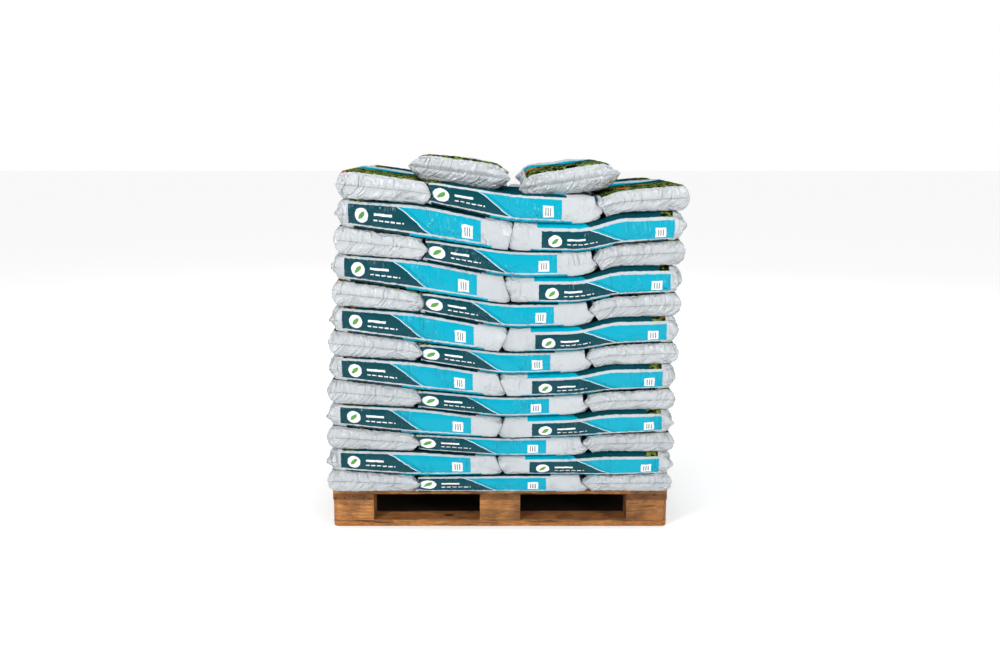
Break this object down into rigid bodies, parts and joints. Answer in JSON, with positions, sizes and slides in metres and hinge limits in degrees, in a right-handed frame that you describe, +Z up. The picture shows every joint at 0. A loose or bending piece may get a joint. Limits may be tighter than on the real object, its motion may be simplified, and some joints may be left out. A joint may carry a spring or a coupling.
{
  "type": "pallet of sacks",
  "caption": "Interlocked layers of filled film sacks, pressed into a shallow hollow, stacked on a flat timber pallet with fork entries on every side.",
  "frame": {"origin": "middle of the pallet's underside, on the floor", "axes": "+X to the right along the pallet's 1200 mm side, +Y to the back, +Z up"},
  "size_m": [1.2645, 0.94, 1.3232],
  "materials": {
    "pallet_wood": "rough sawn softwood, worn and stained",
    "sack_film": "glossy printed polyethylene film, white with dark teal and cyan panels, wrinkled"
  },
  "bodies": {
    "root": {"top_deck_board_1": "pallet_wood", "top_deck_board_2": "pallet_wood", "top_deck_board_3": "pallet_wood", "top_deck_board_4": "pallet_wood", "top_deck_board_5": "pallet_wood", "cross_board_left": "pallet_wood", "cross_board_centre": "pallet_wood", "cross_board_right": "pallet_wood", "block_front_left": "pallet_wood", "block_front_centre": "pallet_wood", "block_front_right": "pallet_wood", "block_centre_left": "pallet_wood", "block_centre_centre": "pallet_wood", "block_centre_right": "pallet_wood", "block_back_left": "pallet_wood", "block_back_centre": "pallet_wood", "block_back_right": "pallet_wood", "bottom_board_front": "pallet_wood", "bottom_board_centre": "pallet_wood", "bottom_board_back": "pallet_wood", "sack_layer_01": "sack_film", "sack_layer_02": "sack_film", "sack_layer_03": "sack_film", "sack_layer_04": "sack_film", "sack_layer_05": "sack_film", "sack_layer_06": "sack_film", "sack_layer_07": "sack_film", "sack_layer_08": "sack_film", "sack_layer_09": "sack_film", "sack_layer_10": "sack_film", "sack_layer_11": "sack_film", "sack_layer_12": "sack_film", "sack_layer_13": "sack_film", "loose_sack_left": "sack_film", "loose_sack_right": "sack_film"}
  },
  "joints": []
}
